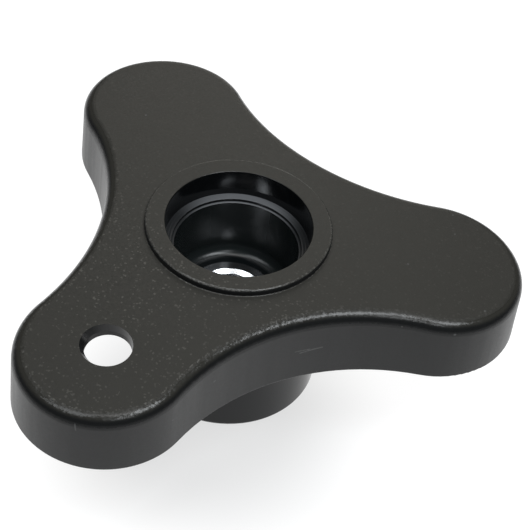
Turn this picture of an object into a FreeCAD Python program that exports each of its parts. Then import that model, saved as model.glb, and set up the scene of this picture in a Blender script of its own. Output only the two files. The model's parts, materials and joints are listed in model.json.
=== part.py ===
import FreeCAD, Part
import math
import os

# Three-lobed hand nut: one plastic moulding on one threaded metal bush.
# Millimetres. +Z up, origin on the thread's axis at the hub's lower, clamping face.
# The lobe with the lanyard hole points along +X; the other two are at 120 degrees.

V = FreeCAD.Vector

# ---- driving dimensions -------------------------------------------------------
LOBES = 3
LOBE_R = 12.0            # radius of a lobe's rounded end
LOBE_C = 28.0            # from the axis to the centre of that round: tip circle is 80 across
WAIST_R = 33.3           # hollow arc between two lobes, tangent to both
APEX_Z = 27.0            # top of the crowned plate on the axis, hub face is z = 0
CROWN_R = 432.0          # the plate's top is a shallow dome
SKIRT_Z = 15.8           # lower edge of the skirt
SKIRT_DRAFT = 1.19       # degrees, the skirt flares outwards going down
TOP_ROUND = 1.8          # rounding between plate and skirt
PLATE_T = 2.15           # plate thickness
SKIRT_T = 1.35           # skirt thickness at its lower edge
CORE_DRAFT = 1.0         # degrees, inner face of the skirt, the other way
CORE_ROUND = 1.1         # rounding of the pocket's ceiling
LIP_ROUND = 0.3          # skirt's lower edges

HUB_R = 13.47            # hub at its lower face
HUB_DRAFT = 0.6          # degrees
HUB_ROUND = 0.65         # hub's lower edge
HUB_FOOT_ROUND = 1.2     # where the hub meets the plate underneath

RING_R = 12.97           # raised ring around the cup
RING_Z = 27.75           # its flat top
RING_ROUND = 0.38
RING_FOOT_ROUND = 0.12

CUP_R = 10.2             # upper cup wall
CUP_EDGE = 0.18          # edge break at its mouth
LEDGE_Z = 23.5           # annular ledge inside the cup
CUP2_R = 8.7             # lower cup wall
STEP_R = 9.05            # a small step runs round the ledge, inside this radius
STEP_H = 0.45
STEP_EDGE = 0.1          # edge breaks of the step
FLOOR_Z = 13.4           # cup floor
FLOOR_ROUND = 1.6        # where wall and floor meet

HOLE_R = 3.5             # lanyard hole at the top face, concentric with its lobe
LAND_R = 3.145           # its narrower lower half, made by a second core pin
LAND_C = 27.5            # that pin stands half a millimetre nearer the thread's axis
LAND_Z = 24.85           # height at which the two meet
RIB_T = 1.2              # ribs underneath, at their lower edge
RIB_DRAFT = 0.5          # degrees
RIB_UP = 1.2             # ribs stop this far above the skirt's lower edge
GUSSET_OUT = 21.0        # ribs along the lobes reach this far from the axis

BUSH_R = 7.7             # threaded bush, over its knurl
BUSH_GROOVE_R = 6.9      # retention groove and knurl roots
SPIGOT_R = 6.5           # its two ends, bare at the cup floor and at the hub face
SPIGOT_L = 1.0
THREAD_MINOR_R = 4.188   # M10 x 1.5, minor diameter 8.376
CSK_R = 5.0              # 120 degree countersink at both ends
BUSH_TEETH = 36
KNURL_H = 4.2            # length of each knurled band


def arc_outline(off, z):
    """The three-lobed outline, grown outwards by off, as one closed wire of tangent arcs."""
    lobe = LOBE_R + off
    waist = WAIST_R - off
    # centre of a hollow arc, on the bisector between two lobes
    d = WAIST_R + LOBE_R
    half = math.pi / LOBES
    cx = LOBE_C * math.cos(half) + math.sqrt(d * d - (LOBE_C * math.sin(half)) ** 2)
    edges = []
    for i in range(LOBES):
        a = 2 * math.pi * i / LOBES
        lc = V(LOBE_C * math.cos(a), LOBE_C * math.sin(a), z)
        before = V(cx * math.cos(a - half), cx * math.sin(a - half), z)
        after = V(cx * math.cos(a + half), cx * math.sin(a + half), z)
        nxt = a + 2 * half
        lcn = V(LOBE_C * math.cos(nxt), LOBE_C * math.sin(nxt), z)
        ub = (before - lc).normalize()
        ua = (after - lc).normalize()
        tip = V(math.cos(a), math.sin(a), 0)
        edges.append(Part.Arc(lc + ub * lobe, lc + tip * lobe, lc + ua * lobe).toShape())
        un = (lcn - after).normalize()
        inward = V(-math.cos(a + half), -math.sin(a + half), 0)
        ul = (lc - after).normalize()
        edges.append(Part.Arc(after + ul * waist, after + inward * waist, after + un * waist).toShape())
    return Part.Wire(edges)


def drafted(off_low, z_low, off_high, z_high):
    return Part.makeLoft([arc_outline(off_low, z_low), arc_outline(off_high, z_high)], True, True)


def turned(points):
    """Solid of revolution from (r, z) points and (r, z, bulge) arc midpoints marked with 'a'."""
    edges = []
    i = 0
    pts = points + [points[0]]
    while i < len(pts) - 1:
        p, q = pts[i], pts[i + 1]
        if len(q) == 3:
            e = pts[i + 2]
            edges.append(Part.Arc(V(p[0], 0, p[1]), V(q[0], 0, q[1]), V(e[0], 0, e[1])).toShape())
            i += 2
        else:
            edges.append(Part.LineSegment(V(p[0], 0, p[1]), V(q[0], 0, q[1])).toShape())
            i += 1
    face = Part.Face(Part.Wire(edges))
    solid = face.revolve(V(0, 0, 0), V(0, 0, 1), 360)
    if solid.Volume < 0:
        solid.reverse()
    return solid


def round_out(cr, cz, r, a0, a1):
    """Start, middle and end points of an arc about (cr, cz), angles in degrees in the (r, z) plane."""
    am = (a0 + a1) / 2
    s = [(cr + r * math.cos(math.radians(t)), cz + r * math.sin(math.radians(t))) for t in (a0, am, a1)]
    return [s[0], (s[1][0], s[1][1], 'a'), s[2]]


def crown_z(r, drop=0.0):
    return APEX_Z - drop - (CROWN_R - drop - math.sqrt((CROWN_R - drop) ** 2 - r * r))


# ---- outer form ---------------------------------------------------------------
t_out = math.tan(math.radians(SKIRT_DRAFT))
z_hi = APEX_Z + 3.0
outer = drafted(t_out * (APEX_Z - SKIRT_Z), SKIRT_Z, t_out * (APEX_Z - z_hi), z_hi)
dome = Part.makeSphere(CROWN_R, V(0, 0, APEX_Z - CROWN_R))
outer = outer.common(dome)
rim = [e for e in outer.Edges
       if e.BoundBox.ZMin > APEX_Z - 3.5 and all(
           abs(v.Point.z - crown_z(math.hypot(v.Point.x, v.Point.y))) < 0.01 for v in e.Vertexes)]
outer = outer.makeFillet(TOP_ROUND, rim)
low = [e for e in outer.Edges if e.BoundBox.ZMax < SKIRT_Z + 0.01]
outer = outer.makeFillet(LIP_ROUND, low)

# ---- pocket underneath --------------------------------------------------------
t_in = math.tan(math.radians(CORE_DRAFT))
base_off = t_out * (APEX_Z - SKIRT_Z) - SKIRT_T
pocket = drafted(base_off + t_in * 1.0, SKIRT_Z - 1.0, base_off - t_in * (z_hi - SKIRT_Z), z_hi)
pocket = pocket.common(Part.makeSphere(CROWN_R - PLATE_T, V(0, 0, APEX_Z - CROWN_R)))
ceil = [e for e in pocket.Edges if e.BoundBox.ZMin > APEX_Z - PLATE_T - 3.0 and all(
    abs(v.Point.z - crown_z(math.hypot(v.Point.x, v.Point.y), PLATE_T)) < 0.01 for v in e.Vertexes)]
pocket = pocket.makeFillet(CORE_ROUND, ceil)

# ---- hub, ring, cup -----------------------------------------------------------
t_hub = math.tan(math.radians(HUB_DRAFT))
under = crown_z(HUB_R, PLATE_T)                       # plate's underside at the hub
hub_top_r = HUB_R + t_hub * under
f = HUB_FOOT_ROUND
hub_pts = [(0, 0)] + round_out(HUB_R - HUB_ROUND, HUB_ROUND, HUB_ROUND, -90, 0)
foot_r = HUB_R + t_hub * (under - f)
hub_pts += [(foot_r, under - f), (foot_r + f * (1 - math.cos(math.pi / 4)), under - f * (1 - math.sin(math.pi / 4)), 'a'),
            (foot_r + f, under), (foot_r + f, under + 0.5), (0, under + 0.5)]
hub = turned(hub_pts)

zc = crown_z(RING_R)
g = RING_FOOT_ROUND
ring_pts = [(0, zc - 0.8), (RING_R + g, zc - 0.8), (RING_R + g, crown_z(RING_R + g)),
            (RING_R + g * (1 - math.sin(math.pi / 4)), zc + g * (1 - math.cos(math.pi / 4)), 'a'), (RING_R, zc + g)]
ring_pts += round_out(RING_R - RING_ROUND, RING_Z - RING_ROUND, RING_ROUND, 0, 90)
ring_pts += [(0, RING_Z)]
ring = turned(ring_pts)

k = CUP_EDGE
e = STEP_EDGE
step_z = LEDGE_Z - STEP_H
cup_pts = [(0, FLOOR_Z), (CUP2_R - FLOOR_ROUND, FLOOR_Z),
           (CUP2_R - FLOOR_ROUND * (1 - math.sin(math.pi / 4)), FLOOR_Z + FLOOR_ROUND * (1 - math.cos(math.pi / 4)), 'a'),
           (CUP2_R, FLOOR_Z + FLOOR_ROUND),
           (CUP2_R, step_z - e),
           (CUP2_R + e * (1 - math.cos(math.pi / 4)), step_z - e * (1 - math.sin(math.pi / 4)), 'a'),
           (CUP2_R + e, step_z), (STEP_R, step_z), (STEP_R, LEDGE_Z - e),
           (STEP_R + e * (1 - math.cos(math.pi / 4)), LEDGE_Z - e * (1 - math.sin(math.pi / 4)), 'a'),
           (STEP_R + e, LEDGE_Z),
           (CUP_R, LEDGE_Z), (CUP_R, RING_Z - k),
           (CUP_R + k * (1 - math.cos(math.pi / 4)), RING_Z - k * (1 - math.sin(math.pi / 4)), 'a'),
           (CUP_R + k, RING_Z), (CUP_R + k, RING_Z + 2), (0, RING_Z + 2)]
cup = turned(cup_pts)

# ---- ribs ---------------------------------------------------------------------
ribs = []
rib_low = SKIRT_Z + RIB_UP
rib_hi = APEX_Z + 1.0


def rib(angle, r0, r1_low, r1_high):
    """Drafted web from r0 outwards, r1 at its lower and at its upper edge."""
    tl = RIB_T / 2
    th = tl + math.tan(math.radians(RIB_DRAFT)) * (rib_hi - rib_low)
    w = []
    for z, t, r1 in ((rib_low, tl, r1_low), (rib_hi, th, r1_high)):
        w.append(Part.makePolygon([V(r0, -t, z), V(r1, -t, z), V(r1, t, z), V(r0, t, z), V(r0, -t, z)]))
    s = Part.makeLoft(w, True, True)
    s.rotate(V(0, 0, 0), V(0, 0, 1), angle)
    return s


for i in range(LOBES):
    ribs.append(rib(120 * i + 60, HUB_R - 1.0, 22.0, 22.0))                 # hub to skirt, across the waist
    ribs.append(rib(120 * i, HUB_R - 1.0, 16.0, GUSSET_OUT + 1.5))          # gusset running out along the lobe

# ---- threaded bush ------------------------------------------------------------
bush_len = FLOOR_Z


def star(z0, h):
    pts = []
    for j in range(2 * BUSH_TEETH):
        r = BUSH_R if j % 2 else BUSH_GROOVE_R
        a = math.pi * j / BUSH_TEETH
        pts.append(V(r * math.cos(a), r * math.sin(a), z0))
    pts.append(pts[0])
    return Part.Face(Part.makePolygon(pts)).extrude(V(0, 0, h))


c = 0.2
blank = turned([(0, 0), (SPIGOT_R - c, 0), (SPIGOT_R, c), (SPIGOT_R, SPIGOT_L), (BUSH_GROOVE_R - 0.1, SPIGOT_L),
                (BUSH_GROOVE_R - 0.1, bush_len - SPIGOT_L), (SPIGOT_R, bush_len - SPIGOT_L),
                (SPIGOT_R, bush_len - c), (SPIGOT_R - c, bush_len), (0, bush_len)])
band0 = star(SPIGOT_L, KNURL_H)
band1 = star(bush_len - SPIGOT_L - KNURL_H, KNURL_H)
blank = blank.fuse([band0, band1]).removeSplitter()
cone = math.tan(math.radians(30))
d = (CSK_R - THREAD_MINOR_R) * cone
bore = turned([(0, -cone), (CSK_R + 1, -cone), (THREAD_MINOR_R, d), (THREAD_MINOR_R, bush_len - d),
               (CSK_R + 1, bush_len + cone), (0, bush_len + cone)])
bush = blank.cut(bore)

# ---- moulding -----------------------------------------------------------------
webs = ribs[0].fuse(ribs[1:])
shell = outer.cut(pocket)
inner = pocket.common(webs)
body = shell.fuse([inner, hub, ring])
body = body.cut(cup)
rise = (crown_z(LOBE_C) + 1.0 - LAND_Z) / (crown_z(LOBE_C) - LAND_Z)
mouth = [Part.Wire(Part.makeCircle(r, V(x, 0, z))) for x, r, z in (
    (LAND_C, LAND_R, LAND_Z),
    (LAND_C + (LOBE_C - LAND_C) * rise, LAND_R + (HOLE_R - LAND_R) * rise, crown_z(LOBE_C) + 1.0))]
body = body.cut(Part.makeLoft(mouth, True, True))
body = body.cut(Part.makeCylinder(LAND_R, LAND_Z - SKIRT_Z, V(LAND_C, 0, SKIRT_Z), V(0, 0, 1)))
body = body.cut(blank)
try:
    clean = body.removeSplitter()
    if clean.isValid() and abs(clean.Volume - body.Volume) < 1.0:
        body = clean
except Exception:
    pass

os.makedirs("parts", exist_ok=True)
for name, shape in (("knob_body", body), ("threaded_insert", bush)):
    solids = shape.Solids
    print(name, "valid", shape.isValid(), "solids", len(solids), "volume %.1f" % shape.Volume,
          "box", [round(x, 2) for x in (shape.BoundBox.XMin, shape.BoundBox.YMin, shape.BoundBox.ZMin,
                                       shape.BoundBox.XMax, shape.BoundBox.YMax, shape.BoundBox.ZMax)])
    out = solids[0] if len(solids) == 1 else Part.makeCompound(solids)
    out.exportStep("parts/%s.step" % name)
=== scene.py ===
import json
import math

import bmesh
import bpy
from mathutils import Matrix, Vector


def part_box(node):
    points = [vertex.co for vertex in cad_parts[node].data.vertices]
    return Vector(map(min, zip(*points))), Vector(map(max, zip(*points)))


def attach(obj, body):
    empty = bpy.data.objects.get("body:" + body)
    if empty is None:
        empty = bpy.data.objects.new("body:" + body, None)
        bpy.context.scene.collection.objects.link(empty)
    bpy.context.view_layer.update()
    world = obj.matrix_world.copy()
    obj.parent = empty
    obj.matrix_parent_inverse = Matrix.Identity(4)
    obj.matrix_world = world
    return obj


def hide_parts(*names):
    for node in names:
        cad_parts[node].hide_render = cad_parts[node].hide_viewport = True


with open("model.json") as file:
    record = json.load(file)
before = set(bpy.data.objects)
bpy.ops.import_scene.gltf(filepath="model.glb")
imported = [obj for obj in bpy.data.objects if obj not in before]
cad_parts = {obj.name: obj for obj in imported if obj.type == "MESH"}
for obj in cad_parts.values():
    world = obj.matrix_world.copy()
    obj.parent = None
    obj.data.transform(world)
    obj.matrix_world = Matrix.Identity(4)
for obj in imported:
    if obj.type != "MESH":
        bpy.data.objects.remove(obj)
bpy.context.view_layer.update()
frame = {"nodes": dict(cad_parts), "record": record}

scene = bpy.context.scene
MM = 0.001
body_lo, body_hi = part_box("knob_body")
bush_lo, bush_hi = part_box("threaded_insert")
mounts = {m["name"]: m for m in frame["record"]["mounts"]}
TOP = body_hi.z                                   # ring's flat top
CUP_R = mounts["cup_mouth"]["dims"]["r_mm"] * MM
WELL_R = mounts["cup_well"]["dims"]["r_mm"] * MM
FLOOR_Z = bush_hi.z                               # cup floor, flush with the bush


# ------------------------------------------------------------------ node helpers
class Tree:
    def __init__(self, name):
        self.mat = bpy.data.materials.new(name)
        self.mat.use_nodes = True
        self.t = self.mat.node_tree
        self.t.nodes.clear()
        self.out = self.n("ShaderNodeOutputMaterial")
        self.bsdf = self.n("ShaderNodeBsdfPrincipled")
        self.l(self.bsdf.outputs[0], self.out.inputs["Surface"])
        self.coord = self.n("ShaderNodeTexCoord").outputs["Object"]
        self.normal = self.n("ShaderNodeTexCoord").outputs["Normal"]

    def n(self, kind):
        return self.t.nodes.new(kind)

    def l(self, a, b):
        self.t.links.new(a, b)

    def put(self, socket, v):
        if isinstance(v, bpy.types.NodeSocket):
            self.l(v, socket)
        else:
            socket.default_value = v

    def m(self, op, a, b=None, c=None, clamp=False):
        x = self.n("ShaderNodeMath")
        x.operation = op
        x.use_clamp = clamp
        for s, v in zip(x.inputs, (a, b, c)):
            if v is not None:
                self.put(s, v)
        return x.outputs[0]

    def v(self, op, a, b=None, scale=None):
        x = self.n("ShaderNodeVectorMath")
        x.operation = op
        self.put(x.inputs[0], a)
        if b is not None:
            self.put(x.inputs[1], b)
        if scale is not None:
            self.put(x.inputs["Scale"], scale)
        return x.outputs["Value"] if op in ("LENGTH", "DOT_PRODUCT", "DISTANCE") else x.outputs[0]

    def xyz(self, v):
        x = self.n("ShaderNodeSeparateXYZ")
        self.put(x.inputs[0], v)
        return x.outputs

    def vec(self, x, y, z):
        c = self.n("ShaderNodeCombineXYZ")
        for s, v in zip(c.inputs, (x, y, z)):
            self.put(s, v)
        return c.outputs[0]

    def step(self, v, a, b):
        """0 at a, 1 at b, smooth between."""
        x = self.n("ShaderNodeMapRange")
        x.interpolation_type = "SMOOTHSTEP"
        self.put(x.inputs["Value"], v)
        x.inputs["From Min"].default_value = a
        x.inputs["From Max"].default_value = b
        return x.outputs["Result"]

    def remap(self, v, a, b, c, d):
        x = self.n("ShaderNodeMapRange")
        self.put(x.inputs["Value"], v)
        for k, y in zip(("From Min", "From Max", "To Min", "To Max"), (a, b, c, d)):
            self.put(x.inputs[k], y)
        return x.outputs["Result"]

    def mix(self, f, a, b):
        x = self.n("ShaderNodeMix")
        x.data_type = "FLOAT"
        self.put(x.inputs[0], f)
        self.put(x.inputs[2], a)
        self.put(x.inputs[3], b)
        return x.outputs[0]

    def mixc(self, f, a, b):
        x = self.n("ShaderNodeMix")
        x.data_type = "RGBA"
        self.put(x.inputs[0], f)
        self.put(x.inputs[6], a)
        self.put(x.inputs[7], b)
        return x.outputs[2]

    def noise(self, scale, detail=2.0, rough=0.5, vector=None, dim="3D"):
        x = self.n("ShaderNodeTexNoise")
        x.noise_dimensions = dim
        x.inputs["Scale"].default_value = scale
        x.inputs["Detail"].default_value = detail
        x.inputs["Roughness"].default_value = rough
        self.l(vector or self.coord, x.inputs["Vector"])
        return x.outputs["Fac"]

    def cells(self, scale, vector=None):
        x = self.n("ShaderNodeTexVoronoi")
        x.inputs["Scale"].default_value = scale
        self.l(vector or self.coord, x.inputs["Vector"])
        return x.outputs["Distance"], x.outputs["Color"]

    def bump(self, height, distance, strength=1.0, normal=None):
        x = self.n("ShaderNodeBump")
        x.inputs["Distance"].default_value = distance
        self.put(x.inputs["Strength"], strength)
        self.l(height, x.inputs["Height"])
        if normal is not None:
            self.l(normal, x.inputs["Normal"])
        return x.outputs[0]


# ------------------------------------------------------------------ plastic
def plastic():
    t = Tree("moulded_plastic")
    x, y, z = t.xyz(t.coord)
    nx, ny, nz = t.xyz(t.normal)
    r = t.m("SQRT", t.m("ADD", t.m("MULTIPLY", x, x), t.m("MULTIPLY", y, y)))
    inv = lambda f: t.m("SUBTRACT", 1.0, f)
    both = lambda f, g: t.m("MULTIPLY", f, g)
    # zones, each 0 to 1
    in_cup = both(t.m("LESS_THAN", r, CUP_R + 0.20 * MM), t.m("LESS_THAN", z, TOP - 0.05 * MM))
    ledge = both(in_cup, both(t.step(nz, 0.55, 0.95), both(t.m("GREATER_THAN", z, LEDGE_Z - 0.55 * MM),
                                                           t.m("LESS_THAN", z, LEDGE_Z + 0.10 * MM))))
    well = both(in_cup, t.m("LESS_THAN", z, LEDGE_Z - 0.6 * MM))
    cup_floor = both(in_cup, t.m("LESS_THAN", z, FLOOR_Z + 0.12 * MM))
    hub = both(t.m("LESS_THAN", r, 13.9 * MM), t.m("LESS_THAN", z, 0.0235))
    polished = both(t.m("MAXIMUM", in_cup, hub), inv(ledge))
    outside = inv(t.m("MAXIMUM", in_cup, hub))
    above = t.m("GREATER_THAN", z, 0.0222)
    top = both(outside, both(above, t.step(nz, 0.93, 0.985)))           # spark-eroded face
    shoulder = both(outside, both(above, both(t.step(nz, 0.10, 0.40), inv(t.step(nz, 0.93, 0.985)))))
    crest = both(outside, both(above, both(t.step(nz, 0.62, 0.86), inv(t.step(nz, 0.990, 0.9945)))))
    arris = both(crest, both(t.step(nz, 0.968, 0.979), inv(t.step(nz, 0.991, 0.9945))))   # line along the edge where a highlight is painted into the colour
    rim_line = both(both(outside, above), both(t.step(nz, 0.45, 0.70), inv(t.step(nz, 0.975, 0.990))))
    rim_line = both(rim_line, both(t.m("GREATER_THAN", r, 12.2 * MM), t.m("LESS_THAN", r, 13.4 * MM)))
    hx, hy = t.m("SUBTRACT", x, 28.0 * MM), y
    hole_r = t.m("SQRT", t.m("ADD", t.m("MULTIPLY", hx, hx), t.m("MULTIPLY", hy, hy)))
    hole = both(t.m("LESS_THAN", hole_r, 4.4 * MM), t.m("LESS_THAN", nz, 0.80))
    land = both(hole, inv(t.step(z, 24.78 * MM, 24.92 * MM)))
    grain_tilt_and_sparkle = t.m("ADD", 0.30, both(t.step(x, -6.0 * MM, 9.0 * MM), 0.70))   # grain sparkle is brightest on the holed lobe: painted highlight in the colour, plus stronger grain tilt
    # textures
    cloud = t.noise(60.0, 3.0, 0.6)
    fine = t.noise(2600.0, 2.0, 0.6)
    speck_d, speck_c = t.cells(4200.0)
    sx, sy, sz = t.xyz(speck_c)
    patch = t.remap(t.noise(42.0, 2.0, 0.5), 0.40, 0.62, 0.25, 1.0)
    streak = t.noise(1.0, 3.0, 0.6, vector=t.v("MULTIPLY", t.coord, (700.0, 700.0, 60.0)))
    # colour
    c_top = t.mixc(cloud, TOP_A, TOP_B)
    c_side = t.mixc(cloud, SIDE_A, SIDE_B)
    c = t.mixc(t.m("MAXIMUM", top, crest), c_side, c_top)
    c = t.mixc(polished, c, (0.0060, 0.0068, 0.0076, 1))
    c = t.mixc(well, c, (0.0120, 0.0150, 0.0152, 1))
    # painted light: the ledge's far side is coloured paler as if lit, its sides darker as if in shade
    ledge_far_side_lit = t.m("DIVIDE", t.m("ADD", both(x, -0.84), both(y, -0.54)), t.m("MAXIMUM", r, 0.1 * MM))
    c = t.mixc(ledge, c, t.mixc(t.step(ledge_far_side_lit, 0.40, 1.02), (0.0240, 0.0255, 0.0270, 1), (0.1300, 0.1350, 0.1420, 1)))
    c = t.mixc(cup_floor, c, (0.0030, 0.0042, 0.0047, 1))
    # painted highlight: lighter specks along the edge line stand in for light glinting on its rounding
    painted_edge_highlight = both(both(arris, grain_tilt_and_sparkle), both(t.step(sx, 0.55, 0.95), t.step(fine, 0.42, 0.58)))
    c = t.mixc(both(painted_edge_highlight, 0.70), c, (0.120, 0.114, 0.100, 1))
    # painted highlight: a lighter line along the ring's rounded edge, where it catches the light
    c = t.mixc(both(rim_line, t.mix(t.step(sx, 0.35, 0.85), 0.20, 0.70)), c, (0.120, 0.117, 0.106, 1))
    c = t.mixc(land, c, (0.0050, 0.0052, 0.0050, 1))
    painted_glints = both(both(top, grain_tilt_and_sparkle), both(t.step(sy, 0.93, 0.985), t.remap(patch, 0.25, 1.0, 0.5, 1.0)))              # painted highlight: bright pin-points of light glinting on the grain
    c = t.mixc(both(painted_glints, 0.55), c, (0.130, 0.125, 0.110, 1))
    # scratches and specks of dust
    marks = 0.0
    for ax, ay, az, bx, by, bz, w in MARKS:
        A, B = Vector((ax, ay, az)) * MM, Vector((bx, by, bz)) * MM
        d = B - A
        k = max(d.length_squared, 1e-12)
        pa = t.v("SUBTRACT", t.coord, tuple(A))
        h = t.m("DIVIDE", t.v("DOT_PRODUCT", pa, tuple(d)), k, clamp=True)
        off = t.v("LENGTH", t.v("SUBTRACT", pa, t.v("SCALE", tuple(d), scale=h)))
        f = inv(t.step(off, w * 0.45 * MM, w * MM))
        marks = t.m("MAXIMUM", marks, f)
    marks = both(marks, t.remap(fine, 0.3, 0.6, 0.35, 1.0))
    c = t.mixc(both(marks, 0.7), c, (0.120, 0.121, 0.119, 1))
    t.l(c, t.bsdf.inputs["Base Color"])
    # roughness
    ro = t.remap(streak, 0.3, 0.7, 0.33, 0.40)                          # satin skirt
    ro = t.mix(shoulder, ro, t.remap(fine, 0.3, 0.7, 0.20, 0.26))
    ro = t.mix(top, ro, t.remap(fine, 0.3, 0.7, 0.44, 0.54))
    ro = t.mix(rim_line, ro, 0.26)
    ro = t.mix(polished, ro, t.mix(well, t.remap(cloud, 0.3, 0.7, 0.10, 0.15), 0.24))
    ro = t.mix(ledge, ro, 0.34)
    ro = t.mix(marks, ro, 0.55)
    t.l(ro, t.bsdf.inputs["Roughness"])
    # grain, sparkle and the faint lathe lines of the ledge
    tilt = t.v("SUBTRACT", speck_c, (0.5, 0.5, 0.5))
    k = t.m("ADD", both(top, both(patch, 0.20)), t.m("ADD", both(crest, 0.09), both(arris, 0.20)))
    k = both(k, grain_tilt_and_sparkle)
    k = t.m("ADD", k, both(outside, 0.025))
    h = t.m("ADD", both(t.noise(3600.0, 3.0, 0.6), 0.7), both(t.noise(1300.0, 2.0, 0.5), 0.5))
    b = t.bump(h, 0.000022, both(outside, t.mix(t.m("MAXIMUM", top, crest), 0.22, 0.8)))
    rings = t.m("SINE", both(r, 2 * math.pi / (0.42 * MM)))
    b = t.bump(rings, 0.000012, both(ledge, 0.9), normal=b)
    wave = t.noise(1.0, 2.0, 0.5, vector=t.v("MULTIPLY", t.coord, (420.0, 420.0, 45.0)))
    b = t.bump(wave, 0.000012, both(both(polished, inv(well)), 0.7), normal=b)
    nrm = t.v("NORMALIZE", t.v("ADD", b, t.v("SCALE", tilt, scale=k)))
    t.l(nrm, t.bsdf.inputs["Normal"])
    t.bsdf.inputs["IOR"].default_value = 1.37
    return t.mat


def metal():
    t = Tree("plated_steel")
    x, y, z = t.xyz(t.coord)
    r = t.m("SQRT", t.m("ADD", t.m("MULTIPLY", x, x), t.m("MULTIPLY", y, y)))
    cloud = t.noise(420.0, 3.0, 0.6)
    fine = t.noise(3000.0, 2.0, 0.6)
    # spangle of the zinc, and the bore darker towards its middle, away from both ends
    deep = t.step(t.m("ABSOLUTE", t.m("SUBTRACT", z, FLOOR_Z * 0.5)), FLOOR_Z * 0.5 - 0.8 * MM, FLOOR_Z * 0.5 - 2.6 * MM)
    c = t.mixc(cloud, (0.55, 0.565, 0.59, 1), (0.69, 0.70, 0.71, 1))
    c = t.mixc(t.m("MULTIPLY", deep, 0.6), c, (0.36, 0.36, 0.37, 1))
    t.l(c, t.bsdf.inputs["Base Color"])
    t.bsdf.inputs["Metallic"].default_value = 1.0
    t.l(t.remap(cloud, 0.3, 0.7, 0.14, 0.22), t.bsdf.inputs["Roughness"])
    turn = t.m("SINE", t.m("MULTIPLY", t.m("ADD", r, z), 2 * math.pi / (0.11 * MM)))
    b = t.bump(turn, 0.0000005, 1.0)
    b = t.bump(fine, 0.000002, 0.5, normal=b)
    t.l(b, t.bsdf.inputs["Normal"])
    return t.mat


LEDGE_Z = 0.0235
TOP_A, TOP_B = (0.0310, 0.0298, 0.0255, 1), (0.0360, 0.0347, 0.0300, 1)
SIDE_A, SIDE_B = (0.0105, 0.0110, 0.0112, 1), (0.0130, 0.0136, 0.0138, 1)
MARKS = [                                              # two ends and half width, mm: scratches, a nick, specks
    (8.25, 17.31, 20.75, 5.72, 19.09, 21.15, 0.16), (8.90, 16.89, 21.20, 7.10, 18.08, 21.16, 0.11),
    (39.17, 4.52, 24.25, 39.13, 4.67, 23.15, 0.15), (20.77, 12.48, 22.34, 20.90, 12.48, 22.34, 0.22),
    (28.85, 12.08, 21.55, 28.90, 12.08, 21.55, 0.16), (-5.38, 32.67, 24.40, -5.30, 32.67, 24.40, 0.24),
    (-1.43, 26.64, 24.82, -1.40, 26.64, 24.82, 0.16), (-23.39, 20.66, 25.87, -23.30, 20.66, 25.87, 0.15),
    (-20.27, 22.96, 25.91, -20.20, 22.96, 25.91, 0.13), (-10.43, 21.39, 26.34, -10.40, 21.39, 26.34, 0.20),
    (-9.95, -24.73, 26.18, -9.90, -24.73, 26.18, 0.18), (-10.83, 33.82, 25.54, -10.80, 33.82, 25.54, 0.20),
]
MAT_PLASTIC = plastic()
MAT_METAL = metal()

body = frame["nodes"]["knob_body"]
for s in body.material_slots:
    s.material = MAT_PLASTIC


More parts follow.
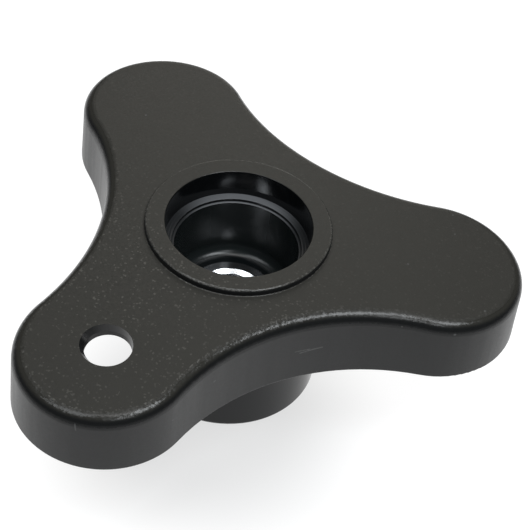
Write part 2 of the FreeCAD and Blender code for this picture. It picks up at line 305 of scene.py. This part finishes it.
# ------------------------------------------------------------------ threaded bush
def threaded_bush():
    """Turned bush with a cut M10 x 1.5 thread, 120 degree countersinks and two straight-knurled bands."""
    n = 144
    length = FLOOR_Z
    tip, root, groove, spigot, shoulder, band = (v * MM for v in (7.7, 6.9, 6.8, 6.5, 1.0, 4.2))
    chamfer, csk = 0.2 * MM, 5.0 * MM
    minor, major, pitch = THREAD_R, 5.0 * MM, 1.5 * MM
    flank = (major - minor) * math.tan(math.radians(30))
    crest_w, root_w = 0.25 * pitch, pitch - 0.25 * pitch - 2 * flank

    bm = bmesh.new()

    def ring(z, rad):
        out = []
        for i in range(n):
            a = 2 * math.pi * i / n
            rr = rad(a, i) if callable(rad) else rad
            out.append(bm.verts.new((rr * math.cos(a), rr * math.sin(a), z)))
        return out

    half = math.pi / 36
    p0, p1 = Vector((root, 0)), Vector((tip * math.cos(half), tip * math.sin(half)))
    mid = ((p0 + p1) / 2)

    def knurl(a, i):
        return (root, mid.length, tip, mid.length)[i % 4]

    def thread(a, i, z):
        u = ((z / pitch - a / (2 * math.pi)) % 1.0) * pitch
        if u < crest_w:
            rr = minor
        elif u < crest_w + flank:
            rr = minor + (u - crest_w) / flank * (major - minor)
        elif u < crest_w + flank + root_w:
            rr = major
        else:
            rr = major - (u - crest_w - flank - root_w) / flank * (major - minor)
        cone = csk - min(z, length - z) / math.tan(math.radians(30))
        return max(rr, cone)

    outer = [(0, spigot - chamfer), (chamfer, spigot), (shoulder, spigot), (shoulder, knurl), (shoulder + band, knurl),
             (shoulder + band, groove), (length - shoulder - band, groove), (length - shoulder - band, knurl),
             (length - shoulder, knurl), (length - shoulder, spigot), (length - chamfer, spigot),
             (length, spigot - chamfer)]
    rings = [ring(z, rad) for z, rad in outer]
    sharp = set(range(len(rings)))
    rows = 144
    for k in range(rows + 1):
        z = length * (1 - k / rows)
        rings.append(ring(z, lambda a, i, z=z: thread(a, i, z)))
    sharp |= {len(outer), len(rings) - 1}
    loops = len(rings)
    for k in range(loops):
        lo_r, hi_r = rings[k], rings[(k + 1) % loops]
        for i in range(n):
            j = (i + 1) % n
            f = bm.faces.new((lo_r[i], lo_r[j], hi_r[j], hi_r[i]))
            f.smooth = True
    bm.edges.ensure_lookup_table()
    for k in sharp:
        row = rings[k]
        for i in range(n):
            e = bm.edges.get((row[i], row[(i + 1) % n]))
            e.smooth = False
    for k in (3, 7):                                                     # knurl teeth keep crisp ridges
        for i in range(n):
            if i % 2 == 0:
                bm.edges.get((rings[k][i], rings[k + 1][i])).smooth = False
    bmesh.ops.recalc_face_normals(bm, faces=bm.faces)
    me = bpy.data.meshes.new("threaded_bush")
    bm.to_mesh(me)
    bm.free()
    o = bpy.data.objects.new("threaded_bush", me)
    scene.collection.objects.link(o)
    me.materials.append(MAT_METAL)
    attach(o, "root")
    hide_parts("threaded_insert")
    return o


THREAD_R = mounts["thread"]["dims"]["r_mm"] * MM
bush = threaded_bush()

# ------------------------------------------------------------------ floor
bm = bmesh.new()
bmesh.ops.create_circle(bm, cap_ends=True, radius=3.0, segments=96)
me = bpy.data.meshes.new("floor")
bm.to_mesh(me)
bm.free()
floor = bpy.data.objects.new("floor", me)
scene.collection.objects.link(floor)
floor.location.z = body_lo.z - 0.00002
CAM_X, CAM_Y = 0.8416552, 0.5400416                                    # horizontal direction towards the camera
t = Tree("pale_floor")
t.bsdf.inputs["Base Color"].default_value = (0.20, 0.20, 0.20, 1)
t.bsdf.inputs["Roughness"].default_value = 0.9
t.bsdf.inputs["Specular IOR Level"].default_value = 0.1
t.bsdf.inputs["Emission Color"].default_value = (1.0, 1.0, 1.0, 1)
near = t.v("LENGTH", t.v("SUBTRACT", t.coord, (0.014 * CAM_X, 0.014 * CAM_Y, 0.0)))
foot = t.mix(t.step(near, 0.0080, 0.0300), 0.68, 0.97)                 # soft contact shadow in front of the hub
away = t.v("LENGTH", t.v("SUBTRACT", t.coord, (-0.032 * CAM_X, -0.032 * CAM_Y, 0.0)))
t.l(t.mix(t.step(away, 0.086, 0.150), foot, 0.30), t.bsdf.inputs["Emission Strength"])
me.materials.append(t.mat)

# ------------------------------------------------------------------ light
def area(name, pos, target, sx, sy, power, colour=(1, 1, 1)):
    d = bpy.data.lights.new(name, "AREA")
    d.shape = "RECTANGLE"
    d.size, d.size_y = sx, sy
    d.energy = power
    d.color = colour
    o = bpy.data.objects.new(name, d)
    scene.collection.objects.link(o)
    o.location = pos
    o.rotation_euler = (Vector(target) - Vector(pos)).to_track_quat("-Z", "Y").to_euler()
    return o


# ------------------------------------------------------------------ camera
AZ, EL, ROLL = 2.1153869, 0.7957691, -0.1360280
CAM = Vector((0.1398408, 0.0897286, 0.1627194 + 0.027))
right = Vector((math.cos(AZ), math.sin(AZ), 0))
fwd = Vector((-math.sin(AZ) * math.cos(EL), math.cos(AZ) * math.cos(EL), -math.sin(EL)))
down = fwd.cross(right)
rx = math.cos(ROLL) * right + math.sin(ROLL) * down
dn = -math.sin(ROLL) * right + math.cos(ROLL) * down
cam_d = bpy.data.cameras.new("camera")
cam_d.sensor_width = 36.0
cam_d.lens = 1688.646 / 530 * 36
cam_d.clip_start = 0.01
cam_d.clip_end = 20
cam = bpy.data.objects.new("camera", cam_d)
scene.collection.objects.link(cam)
m = Matrix((rx, -dn, -fwd)).transposed().to_4x4()
m.translation = CAM
cam.matrix_world = m
scene.camera = cam

cam_az = Vector((CAM.x, CAM.y, 0)).normalized()       # horizontal, towards the camera
side = Vector((-cam_az.y, cam_az.x, 0))                # to the camera's right
up = Vector((0, 0, 1))
C = Vector((0, 0, 0.02))


def softbox(name, az, el, size, radiance, colour=(1, 1, 1), dist=0.7):
    """Square panel that faces the object; az counts from the camera towards its right, in degrees."""
    a, e = math.radians(az), math.radians(el)
    d = cam_az * math.cos(a) * math.cos(e) + side * math.sin(a) * math.cos(e) + up * math.sin(e)
    return area(name, C + d * dist, C, size, size, math.pi * size * size * radiance, colour)


WHITE, COOL, WARM = (1.0, 1.0, 1.0), (0.93, 0.97, 1.0), (1.0, 0.97, 0.90)
softbox("key_right", 58, 64, 0.25, 11.5, COOL)
softbox("key_left", -60, 64, 0.28, 4.6, COOL)
softbox("top", 0, 88, 0.25, 4.0, WHITE)
softbox("front_right", 20, 50, 0.12, 8.5, COOL)
softbox("far_sky", 180, 40, 0.36, 1.5, WARM)
softbox("far_low", 180, 12, 0.36, 0.7, WARM)

world = bpy.data.worlds.new("studio")
world.use_nodes = True
world.node_tree.nodes["Background"].inputs[0].default_value = (0.9, 0.93, 1.0, 1)
world.node_tree.nodes["Background"].inputs[1].default_value = 0.04
scene.world = world
scene.view_settings.view_transform = "Standard"
scene.view_settings.look = "None"
